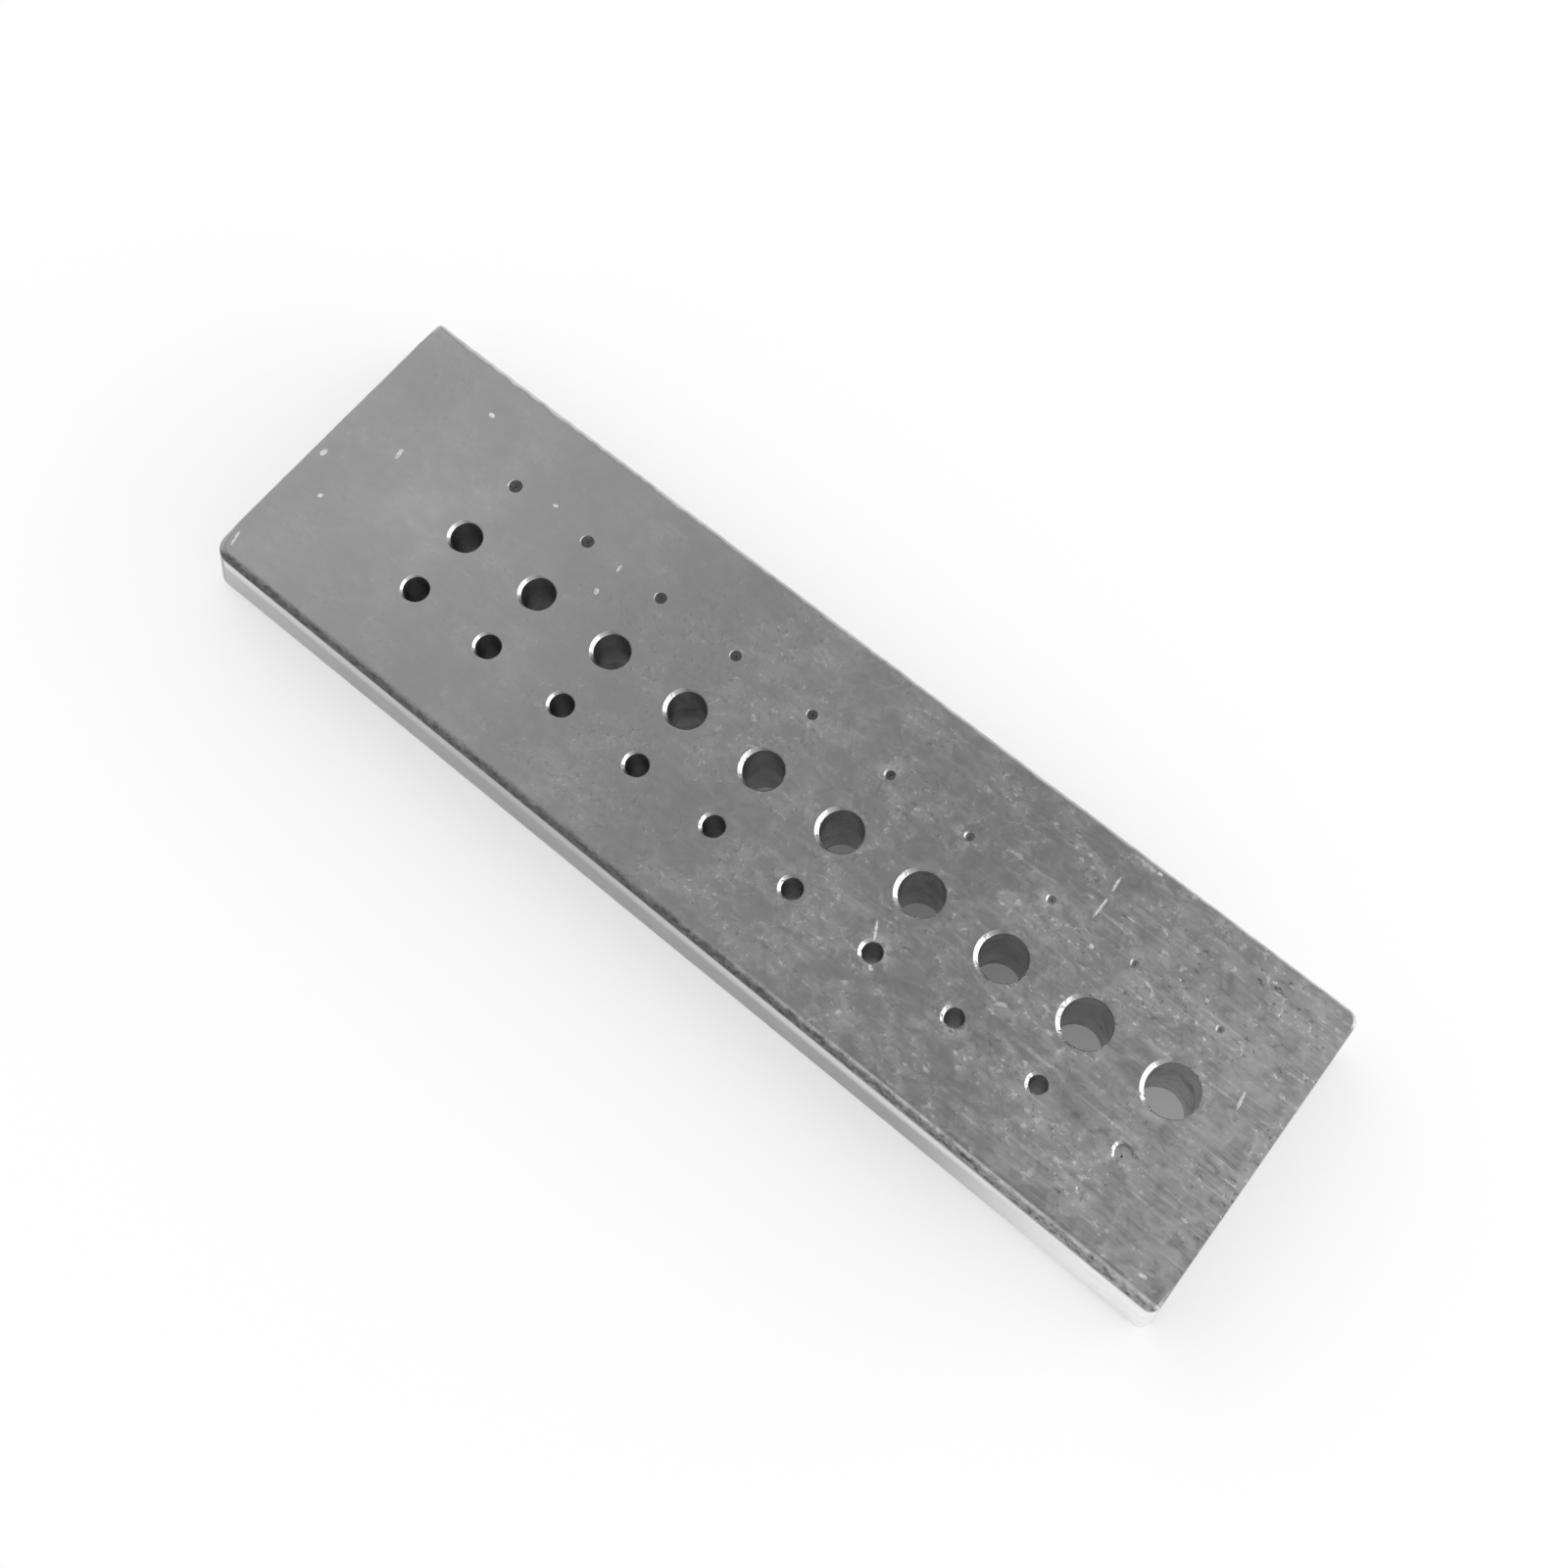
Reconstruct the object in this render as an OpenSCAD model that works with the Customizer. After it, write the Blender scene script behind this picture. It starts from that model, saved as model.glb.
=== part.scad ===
// Riveting stake: one flat block of hardened steel with three rows of graded through holes.
// The left end keeps a wide plain margin to hold the block by, and the holes run up to the right end.
// X runs along the block, Y from front to back and Z up, with the origin under the block's middle.

/* [Block] */
// Length of the working face, from its left end to the furthest point of its right end
block_length = 100.3; // [90:0.1:125]
// Width of the block, from its front side to its back side
block_width = 28.8; // [24:0.2:40]
// Thickness of the block, from the face it lies on to the working face
block_thickness = 9.4; // [5:0.2:16]
// Width and depth of the bevel along the front and back edges of both faces
edge_bevel = 0.5; // [0.2:0.05:0.7]

/* [Ends] */
// Distance by which the foot of the left end stands out past its top edge
left_end_lean = 3; // [0:0.1:4]
// Distance by which the foot of the right end stands out past its top edge
right_end_lean = 0.5; // [0:0.1:2]
// Angle by which the right end is out of square, so that it reaches furthest at the front
right_end_slant = 2.5; // [0:0.1:5]

/* [Corners] */
// Radius of the front left corner, seen along its edge
front_left_radius = 1.6; // [0.6:0.1:4]
// Radius of the front right corner, seen along its edge
front_right_radius = 0.9; // [0.6:0.1:4]
// Radius of the back left corner, seen along its edge
back_left_radius = 0.8; // [0.6:0.1:4]
// Radius of the back right corner, seen along its edge
back_right_radius = 1.1; // [0.6:0.1:4]

/* [Hole grid] */
// Number of holes in each row
holes_per_row = 10; // [4:1:12]
// Distance from the working face's left end to the middle of each row's first hole
left_margin = 16.2; // [8:0.5:30]
// Distance from the middle of each row's last hole to the furthest point of the working face
right_margin = 9.1; // [6:0.1:16]
// Distance from the middle row to the front row and to the back row
row_gap = 6.3; // [5:0.1:8]
// Distance of the middle row from the block's middle line, towards the back
row_offset = 0.3; // [0:0.05:1]

/* [Back row] */
// Diameter of the back row's first hole, at the left
back_left_hole = 1.3; // [0.8:0.05:2]
// Diameter of the back row's last hole, at the right
back_right_hole = 0.6; // [0.4:0.05:1.6]
// Width and depth of the bevel round the back row's holes
back_hole_bevel = 0.25; // [0.1:0.05:0.5]

/* [Middle row] */
// Diameter of the middle row's first hole, at the left
middle_left_hole = 2.85; // [1.5:0.05:4]
// Diameter of the middle row's last hole, at the right
middle_right_hole = 4.5; // [3:0.05:5]
// Width and depth of the bevel round the middle row's holes
middle_hole_bevel = 0.38; // [0.1:0.02:0.5]

/* [Front row] */
// Diameter of the front row's first hole, at the left
front_left_hole = 2.35; // [1.5:0.05:3]
// Diameter of the front row's last hole, at the right
front_right_hole = 1.5; // [0.8:0.05:2.4]
// Width and depth of the bevel round the front row's holes
front_hole_bevel = 0.3; // [0.1:0.05:0.5]

/* [Hidden] */
$fn = 96;
half_width = block_width / 2;
foot_length = block_length + left_end_lean + right_end_lean;
working_face_left = left_end_lean - foot_length / 2;
hole_pitch = (block_length - left_margin - right_margin) / (holes_per_row - 1);
first_hole_x = working_face_left + left_margin;
cutter_overrun = 0.2;

// Both ends lean out towards the foot, and the edges of their corners lean in the same upright planes.
left_tilt = atan(left_end_lean / block_thickness);
right_tilt = -atan(right_end_lean / block_thickness);
left_rate = left_end_lean / block_thickness;
right_rate = right_end_lean / block_thickness * cos(right_end_slant);

// The right end's plane touches the roundings of both right corners.
front_left_x = front_left_radius / cos(left_tilt) - foot_length / 2;
back_left_x = back_left_radius / cos(left_tilt) - foot_length / 2;
front_right_x = foot_length / 2 - front_right_radius / cos(right_tilt);
plane_stretch = sqrt(1 + right_rate * right_rate);
right_end_distance = front_right_x * cos(right_end_slant) + front_right_radius * plane_stretch
    - (half_width - front_right_radius) * sin(right_end_slant);
back_right_x = (right_end_distance - back_right_radius * plane_stretch
    - (half_width - back_right_radius) * sin(right_end_slant)) / cos(right_end_slant);
right_direction = atan(tan(right_end_slant) * cos(right_tilt));

// Each corner: middle of its rounding at the foot in X and Y, radius, direction of the side,
// direction of the end, and tilt of the corner's edge.
corners = [
    [front_left_x, front_left_radius - half_width, front_left_radius, -90, 180, left_tilt],
    [front_right_x, front_right_radius - half_width, front_right_radius, -90, right_direction, right_tilt],
    [back_left_x, half_width - back_left_radius, back_left_radius, 90, 180, left_tilt],
    [back_right_x, half_width - back_right_radius, back_right_radius, 90, right_direction, right_tilt]
];

// Slab that ends only at the front and at the back, with both faces' edges bevelled there.
module long_slab() {
    rotate([90, 0, 90])
        linear_extrude(2 * foot_length, center = true)
            polygon([
                [edge_bevel - half_width, 0],
                [half_width - edge_bevel, 0],
                [half_width, edge_bevel],
                [half_width, block_thickness - edge_bevel],
                [half_width - edge_bevel, block_thickness],
                [edge_bevel - half_width, block_thickness],
                [-half_width, block_thickness - edge_bevel],
                [-half_width, edge_bevel]
            ]);
}

// Slab that ends only towards +X, in a plane that is foot_distance away at the foot and leans back above it.
module end_slab(foot_distance, lean_rate) {
    top = block_thickness + cutter_overrun;
    rotate([90, 0, 0])
        linear_extrude(2 * block_width, center = true)
            polygon([
                [-2 * foot_length, -cutter_overrun],
                [foot_distance + lean_rate * cutter_overrun, -cutter_overrun],
                [foot_distance - lean_rate * top, top],
                [-2 * foot_length, top]
            ]);
}

// Slab with bevelled long edges and leaning ends, its corners still sharp.
module sharp_slab() {
    intersection() {
        long_slab();
        rotate([0, 0, 180])
            end_slab(foot_length / 2, left_rate);
        rotate([0, 0, right_end_slant])
            end_slab(right_end_distance, right_rate);
    }
}

// Sets its children, drawn round an upright line at the origin, round the edge of one corner.
module along_corner(corner) {
    translate([corner[0], corner[1], 0])
        rotate([0, corner[5], 0])
            children();
}

// Column that takes one sharp corner away; its inner edge is the middle line of the corner's rounding.
module corner_column(radius, side_angle, end_angle) {
    reach = 1.2 * radius + cutter_overrun;
    to_side = [reach * cos(side_angle), reach * sin(side_angle)];
    to_end = [reach * cos(end_angle), reach * sin(end_angle)];
    translate([0, 0, -reach])
        linear_extrude(1.2 * block_thickness + 2 * reach)
            polygon([[0, 0], to_side, to_side + to_end, to_end]);
}

// Post that fills one corner again, longer than the block is thick.
module corner_post(radius) {
    translate([0, 0, -radius])
        cylinder(r = radius, h = 1.2 * block_thickness + 2 * radius);
}

// Slab with its corners rounded.
module rounded_slab() {
    difference() {
        sharp_slab();
        for (corner = corners)
            along_corner(corner)
                corner_column(corner[2], corner[3], corner[4]);
    }
    intersection() {
        long_slab();
        for (corner = corners)
            along_corner(corner)
                corner_post(corner[2]);
    }
}

// Cutter for one through hole, opened to a bevel at both faces.
module hole_cutter(diameter, bevel) {
    mouth = diameter / 2 + bevel + cutter_overrun;
    rotate_extrude()
        polygon([
            [0, -cutter_overrun],
            [mouth, -cutter_overrun],
            [diameter / 2, bevel],
            [diameter / 2, block_thickness - bevel],
            [mouth, block_thickness + cutter_overrun],
            [0, block_thickness + cutter_overrun]
        ]);
}

// One row of holes whose diameters change by even steps from the left end to the right end.
module hole_row(row_y, left_diameter, right_diameter, bevel) {
    for (step = [0 : holes_per_row - 1]) {
        share = step / (holes_per_row - 1);
        translate([first_hole_x + step * hole_pitch, row_y, 0])
            hole_cutter(left_diameter + share * (right_diameter - left_diameter), bevel);
    }
}

// The whole stake. From the smallest hole up, the sizes run along the back row from right to left,
// then along the front row from right to left, then along the middle row from left to right.
module stake_block() {
    color([0.62, 0.62, 0.63])
        difference() {
            rounded_slab();
            hole_row(row_offset + row_gap, back_left_hole, back_right_hole, back_hole_bevel);
            hole_row(row_offset, middle_left_hole, middle_right_hole, middle_hole_bevel);
            hole_row(row_offset - row_gap, front_left_hole, front_right_hole, front_hole_bevel);
        }
}

stake_block();
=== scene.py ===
import math
import bpy
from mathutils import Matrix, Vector, noise


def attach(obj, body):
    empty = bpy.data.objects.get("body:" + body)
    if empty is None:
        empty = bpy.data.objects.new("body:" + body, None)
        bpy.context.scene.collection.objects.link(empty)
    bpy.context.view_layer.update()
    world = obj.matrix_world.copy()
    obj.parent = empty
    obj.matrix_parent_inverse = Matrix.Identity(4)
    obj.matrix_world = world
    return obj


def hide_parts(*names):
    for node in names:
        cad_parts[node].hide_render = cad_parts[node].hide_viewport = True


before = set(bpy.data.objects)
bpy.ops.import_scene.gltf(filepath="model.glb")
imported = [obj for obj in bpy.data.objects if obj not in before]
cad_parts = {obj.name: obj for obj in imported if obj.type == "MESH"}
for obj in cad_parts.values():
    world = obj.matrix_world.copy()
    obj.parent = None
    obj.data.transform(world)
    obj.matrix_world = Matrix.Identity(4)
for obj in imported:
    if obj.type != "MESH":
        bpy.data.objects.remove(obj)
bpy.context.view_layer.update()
mm = 0.001


def placeObject(name, data):
    placed = bpy.data.objects.new(name, data)
    bpy.context.collection.objects.link(placed)
    return placed


# camera: stands close over the front right part of the block

cameraPlace = {
    "x": 44.11, "y": -44.02, "z": 177.70,  # mm from the middle of the underside
    "turn": (0.92626886, 0.1585124, 0.06753248, 0.33517038),
    "lens": 50.148, "sensor": 36, "clipStart": 5,  # mm
}

cameraData = bpy.data.cameras.new("closeCamera")
cameraData.lens = cameraPlace["lens"]
cameraData.sensor_width = cameraPlace["sensor"]
cameraData.clip_start = cameraPlace["clipStart"] * mm
camera = placeObject("closeCamera", cameraData)
camera.rotation_mode = "QUATERNION"
camera.location = [cameraPlace[axis] * mm for axis in "xyz"]
camera.rotation_quaternion = cameraPlace["turn"]
bpy.context.scene.camera = camera
print("camera ready")


# small helpers for node trees

def plug(tree, value, socket):
    # a number or colour is written on the socket, anything else is linked to it
    if isinstance(value, bpy.types.NodeSocket):
        tree.links.new(value, socket)
    else:
        socket.default_value = value


def calc(tree, operation, *values):
    mathNode = tree.nodes.new("ShaderNodeMath")
    mathNode.operation = operation
    for place, value in enumerate(values):
        plug(tree, value, mathNode.inputs[place])
    return mathNode.outputs[0]


def chain(tree, operation, values):
    # the operation on the first two values, then on its outcome and the next value
    outcome = values[0]
    for value in values[1:]:
        outcome = calc(tree, operation, outcome, value)
    return outcome


def product(tree, *values):
    return chain(tree, "MULTIPLY", values)


def total(tree, *values):
    return chain(tree, "ADD", values)


def most(tree, *values):
    return chain(tree, "MAXIMUM", values)


def squareSum(tree, first, second):
    return total(tree, product(tree, first, first), product(tree, second, second))


def minus(tree, first, second):
    return calc(tree, "SUBTRACT", first, second)


def timesPlus(tree, value, times, base):
    return calc(tree, "MULTIPLY_ADD", value, times, base)


def oneLess(tree, value, times=1):
    # 1 less so many times the value
    return timesPlus(tree, value, -times, 1)


def ratio(tree, first, second):
    return calc(tree, "DIVIDE", first, second)


def span(tree, value, low, high, atLow=0.0, atHigh=1.0, soft=False):
    # value between low and high becomes atLow to atHigh, held at both ends
    rangeNode = tree.nodes.new("ShaderNodeMapRange")
    rangeNode.interpolation_type = "SMOOTHSTEP" if soft else "LINEAR"
    for place, item in enumerate((value, low, high, atLow, atHigh)):
        plug(tree, item, rangeNode.inputs[place])
    return rangeNode.outputs[0]


def spanner(tree, ranges, unit=1):
    # a span that looks its numbers up by name, low and high in this unit
    def at(value, name, soft=False):
        low, high, *shares = ranges[name]
        return span(tree, value, low * unit, high * unit, *shares, soft=soft)
    return at


def signed(tree, value, reach=0.2):
    # noise within this reach of 0.5 becomes -1 to 1
    return span(tree, value, 0.5 - reach, 0.5 + reach, -1, 1)


def blendOf(tree, share, atZero, atOne):
    # atZero + share * (atOne - atZero) for numbers
    mixNode = tree.nodes.new("ShaderNodeMix")
    mixNode.data_type = "FLOAT"
    mixNode.clamp_factor = False
    for place, item in enumerate((share, atZero, atOne)):
        plug(tree, item, mixNode.inputs[(0, 2, 3)[place]])
    return mixNode.outputs[0]


def partsOf(tree, vector):
    # the X, Y and Z of a vector
    split = tree.nodes.new("ShaderNodeSeparateXYZ")
    plug(tree, vector, split.inputs[0])
    return split.outputs


def joined(tree, *parts):
    join = tree.nodes.new("ShaderNodeCombineXYZ")
    for place, value in enumerate(parts):
        plug(tree, value, join.inputs[place])
    return join.outputs[0]


def vectorCalc(tree, operation, first, second):
    vectorNode = tree.nodes.new("ShaderNodeVectorMath")
    vectorNode.operation = operation
    plug(tree, first, vectorNode.inputs[0])
    plug(tree, second, vectorNode.inputs[1])
    return vectorNode.outputs[0]


def placeInMm(tree):
    place = tree.nodes.new("ShaderNodeTexCoord").outputs["Object"]
    return vectorCalc(tree, "MULTIPLY", place, (1 / mm, 1 / mm, 1 / mm))


def socketsFor(tree, names, direction, kind="NodeSocketFloat"):
    for name in names:
        tree.interface.new_socket(name=name, in_out=direction, socket_type=kind)


# sizes of the block and of its holes, in mm
block = {
    "length": 100.3, "width": 28.8, "thickness": 9.4,  # length of the working face
    "leanLeft": 3.0, "leanRight": 0.5,  # how far the foot of each end stands out past its top edge
    "endSlant": 2.5,  # degrees by which the right end is out of square
    "frontLeft": 1.6, "frontRight": 0.9, "backRight": 1.1, "backLeft": 0.45,  # corner radii
    "bevel": 0.36,  # width of the flat part of the bevel along the front edge
    "roundOver": 0.6,  # radius by which the working face rolls over into that bevel
    "wornRadius": 0.12,  # how round the bevel's lower edge is worn
    # share of these sizes at both ends of the front, right, back and left edge, and how much they wander
    "edgeSizes": ((1.0, 1.0), (0.12, 0.12), (0.42, 0.85), (0.25, 0.25)),
    "ragged": (0.16, 0.9, 0.3, 0.6),
    # share of them at the front right, back right, back left and front left corner
    "cornerSizes": (0.55, 0.45, 0.6, 0.9),
    "blendSteps": 4,  # points over which an edge takes on the size at its corner
    "topSteps": 8, "sideSteps": 9, "underSteps": 5, "cornerSteps": 10,
}

rowNames = ("Back", "Middle", "Front")
holes = {
    "perRow": 10, "firstAt": 16.2, "lastBefore": 9.1, "rowGap": 6.3, "rowOffset": 0.3,
    "Back left hole": 1.3, "Back right hole": 0.6, "Back rim": 0.25,
    "Middle left hole": 2.85, "Middle right hole": 4.5, "Middle rim": 0.38,
    "Front left hole": 2.35, "Front right hole": 1.5, "Front rim": 0.3,
    "wornTowards": 198, "unwornRim": 0.3,  # direction (degrees) of the widest rim, share left opposite
    "narrowRim": 0.45, "narrowShine": 0.7,  # share of rim, and of gloss and painted highlight, that the narrowest holes lack
    "clogged": 0.88,  # share of a narrow bore that grime closes
    "clogLift": 0.26, "deepClogLift": 1.4,  # how far a ring of the wall is raised to make grime flat
    "deepClogSteps": 2,  # rings by which it lies deeper in the front row's last hole
    "alongSteps": 20, "acrossSteps": 16,  # border points of one hole's patch
    "topSteps": 10, "rimSteps": 4, "wallSteps": 8, "underSteps": 4,
    "sewWithin": 0.001,  # points this close are made one
}
holeSizes = [row + kind for row in rowNames for kind in (" left hole", " right hole", " rim")]

# how rims and grime change from hole to hole: from and to in mm, and the shares there
holeRanges = {
    # by radius
    "narrow": (0.35, 0.85, 1, 0), "backRow": (0.66, 0.7, 1, 0), "lastNarrow": (0.8, 0.9, 1, 0),
    "burred": (0.9, 1.3, 1, 0),
    # by x: the last column, what the back row's rims lack, and the width and depth of all rims
    "lastColumn": (36, 42, 0, 1), "backRims": (-4, 12, 0.75, 0),
    "rimWidth": (-32, 12, 0.68, 1), "rimDepth": (-20, 20, 1.0, 0.76),
    # by the way from the hole
    "burrs": (0, 1.3, 1, 0),
}
# how far a place on a rim faces its worn side (1 right at it) where it gets wide, and where it gets gloss
# and a painted highlight
wornSide, shiningSide = (0.0, 0.85), (0.4, 0.8)
# steps of the patch over which the rim's gloss and painted highlight come and go, above and below the rim
shineBefore, shineAfter = 0.4, 0.6

footLength = block["length"] + block["leanLeft"] + block["leanRight"]
faceLeft = block["leanLeft"] - footLength / 2
faceRight = faceLeft + block["length"]
halfWidth = block["width"] / 2
pitch = (block["length"] - holes["firstAt"] - holes["lastBefore"]) / (holes["perRow"] - 1)
firstX = faceLeft + holes["firstAt"]
fieldLeft = firstX - pitch / 2
fieldRight = firstX + pitch * (holes["perRow"] - 0.5)
halfField = len(rowNames) / 2 * holes["rowGap"]
fieldFront = holes["rowOffset"] - halfField
fieldBack = holes["rowOffset"] + halfField


# outer part of the block: a ring from the field of holes over the edges and back underneath

def outlineCorners(height):
    # each corner's middle, radii along X and Y, first and last direction, anticlockwise from front right
    down = 1 - height / block["thickness"]
    slant = math.radians(block["endSlant"])
    tilt = math.atan(block["leanLeft"] / block["thickness"])
    left = faceLeft - down * block["leanLeft"]
    frontRadius, backRadius = block["frontRight"], block["backRight"]
    frontRight = (faceRight + down * block["leanRight"] - frontRadius, frontRadius - halfWidth)
    endDistance = frontRight[0] * math.cos(slant) + frontRight[1] * math.sin(slant) + frontRadius
    backRightY = halfWidth - backRadius
    backRightX = (endDistance - backRadius - backRightY * math.sin(slant)) / math.cos(slant)
    corners = [(frontRight, frontRadius, frontRadius, -90, block["endSlant"]),
               ((backRightX, backRightY), backRadius, backRadius, block["endSlant"], 90)]
    for name, side, fromAngle, toAngle in (("backLeft", 1, 90, 180), ("frontLeft", -1, 180, 270)):
        radius = block[name]
        along = radius / math.cos(tilt)
        corners.append(((left + along, side * (halfWidth - radius)), along, radius, fromAngle, toAngle))
    return corners


def onCorner(corner, share, inset):
    # an outline that is drawn in by more than the corner's radius has a sharp corner
    middle, radiusX, radiusY, fromAngle, toAngle = corner
    angles = [math.radians(fromAngle + part * (toAngle - fromAngle)) for part in (share, 0, 1)]
    way, first, last = [Vector((math.cos(angle), math.sin(angle))) for angle in angles]
    over = max(0, inset - min(radiusX, radiusY))
    rounded = Vector(((radiusX - inset + over) * way.x, (radiusY - inset + over) * way.y))
    return Vector(middle) + rounded - over * (first + last)


def ringColumns():
    # each column: a point of the field's border, the corners it lies between, its share of the way,
    # the share of the edge's sizes there and how much they wander
    fieldCorners = [Vector((fieldRight, fieldFront)), Vector((fieldRight, fieldBack)),
                    Vector((fieldLeft, fieldBack)), Vector((fieldLeft, fieldFront))]
    alongSteps = holes["perRow"] * holes["alongSteps"]
    acrossSteps = len(rowNames) * holes["acrossSteps"]
    columns = []
    for place in range(4):
        start, end = fieldCorners[place - 1], fieldCorners[place]
        edge, edgeEnd = block["edgeSizes"][place]
        cornerBefore, cornerAfter = block["cornerSizes"][place - 1], block["cornerSizes"][place]
        steps = alongSteps if place % 2 == 0 else acrossSteps
        for step in range(steps):
            share = step / steps
            away = min(1, min(step, steps - step) / block["blendSteps"])
            corner = cornerBefore if share < 0.5 else cornerAfter
            size = corner + away * (edge + share * (edgeEnd - edge) - corner)
            columns.append((start.lerp(end, share), (place - 1) % 4, place, share, size,
                            away * block["ragged"][place]))
        for step in range(block["cornerSteps"]):
            columns.append((end, place, place, step / block["cornerSteps"], cornerAfter, 0))
    return columns


def edgeProfile():
    # (inset, depth below the face, share of edge wear and painted light) from the flat face over one edge
    # to the side
    bevel, roll, worn = block["bevel"], block["roundOver"], block["wornRadius"]
    flatReach, sideReach = 0.15, 1.2  # mm of flat face and of plain side at the profile's two ends
    bevelWear, edgeWearAndLight, sideWear = 0.9, 1.0, 0.6
    half = math.sin(math.radians(45))
    upperDepth = roll * (1 - half)
    points = [(bevel + roll * half + flatReach, 0, 0.0)]
    for turn in (0, 9, 18, 27, 36, 45):
        rad = math.radians(turn)
        points.append((bevel + roll * (half - math.sin(rad)), roll * (1 - math.cos(rad)),
                       bevelWear * turn / 45))
    points.append((bevel / 2, upperDepth + bevel / 2, bevelWear))
    tangent = worn * math.tan(math.radians(22.5))
    for turn in (45, 30, 15, 0):
        rad = math.radians(turn)
        points.append((worn * (1 - math.cos(rad)), upperDepth + bevel + tangent - worn * math.sin(rad),
                       edgeWearAndLight))
    points.append((0, upperDepth + bevel + 3 * tangent, sideWear))
    points.append((0, upperDepth + bevel + sideReach, 0.0))
    return points


def columnRows(topEdge, underEdge):
    # each row is (share of the way from field to edge, inset at the edge, height, share of edge wear and
    # painted light)
    thickness = block["thickness"]
    profile = edgeProfile()
    flatInset, lowest = profile[0][0], profile[-1][1]
    sideTop, sideUnder = thickness - lowest * topEdge, lowest * underEdge
    rows = [(step / block["topSteps"], flatInset * topEdge, thickness, 0.0)
            for step in range(block["topSteps"])]
    rows += [(1, inset * topEdge, thickness - depth * topEdge, wear) for inset, depth, wear in profile]
    for step in range(1, block["sideSteps"]):
        rows.append((1, 0, sideTop + step / block["sideSteps"] * (sideUnder - sideTop), 0.0))
    rows += [(1, inset * underEdge, depth * underEdge, wear) for inset, depth, wear in reversed(profile)]
    rows += [(1 - step / block["underSteps"], flatInset * underEdge, 0, 0.0)
             for step in range(1, block["underSteps"] + 1)]
    return rows


def wander(place, edge, amount, layer):
    # share of an edge's sizes at one place of the outline: never quite even, with a nick here and there
    def waves(perMm, above):
        return noise.noise(Vector((place.x * perMm, place.y * perMm, layer + above)))

    leastShare, nicksFrom, nickDepth, slowDepth = 0.35, 0.3, 2.2, 0.4
    slow = waves(0.35, 0)
    quick = waves(1.5, 7)
    nick = max(0, waves(0.9, 19) - nicksFrom)
    return edge * max(leastShare, 1 + amount * (slowDepth * slow + quick + nickDepth * nick))


def makeRing():
    columns = ringColumns()
    topLayer, underLayer = 0, 40  # of the noise
    points, wear = [], []
    for border, before, after, share, edge, ragged in columns:
        def outline(height, inset):
            corners = outlineCorners(height)
            if before == after:
                return onCorner(corners[after], share, inset)
            return onCorner(corners[before], 1, inset).lerp(onCorner(corners[after], 0, inset), share)
        place = outline(block["thickness"], 0)
        rows = columnRows(wander(place, edge, ragged, topLayer), wander(place, edge, ragged, underLayer))
        for way, inset, height, worn in rows:
            flat = border.lerp(outline(height, inset), way)
            points.append((flat.x * mm, flat.y * mm, height * mm))
            wear.append(worn)
    faces = []
    for column in range(len(columns)):
        here, beside = column * len(rows), (column + 1) % len(columns) * len(rows)
        for row in range(len(rows) - 1):
            faces.append((here + row, here + row + 1, beside + row + 1, beside + row))
    mesh = bpy.data.meshes.new("blockRing")
    mesh.from_pydata(points, [], faces)
    mesh.attributes.new("edgeWearAndLight", "FLOAT", "POINT").data.foreach_set("value", wear)
    return placeObject("blockRing", mesh)


# the field of holes: one patch of mesh, set on a grid of points and opened to each hole's own size

def position(tree):
    return tree.nodes.new("GeometryNodeInputPosition").outputs[0]


def named(tree, name, kind="FLOAT"):
    nameNode = tree.nodes.new("GeometryNodeInputNamedAttribute")
    nameNode.data_type = kind
    nameNode.inputs["Name"].default_value = name
    return nameNode.outputs["Attribute"]


def keep(tree, geometry, name, value, kind="FLOAT"):
    keepNode = tree.nodes.new("GeometryNodeStoreNamedAttribute")
    keepNode.data_type = kind
    keepNode.domain = "POINT"
    keepNode.inputs["Name"].default_value = name
    plug(tree, geometry, keepNode.inputs["Geometry"])
    plug(tree, value, keepNode.inputs["Value"])
    return keepNode.outputs[0]


def finished(tree, geometry, material, selection=None):
    finishNode = tree.nodes.new("GeometryNodeSetMaterial")
    finishNode.inputs["Material"].default_value = material
    plug(tree, geometry, finishNode.inputs["Geometry"])
    if selection is not None:
        plug(tree, selection, finishNode.inputs["Selection"])
    return finishNode.outputs[0]


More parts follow.
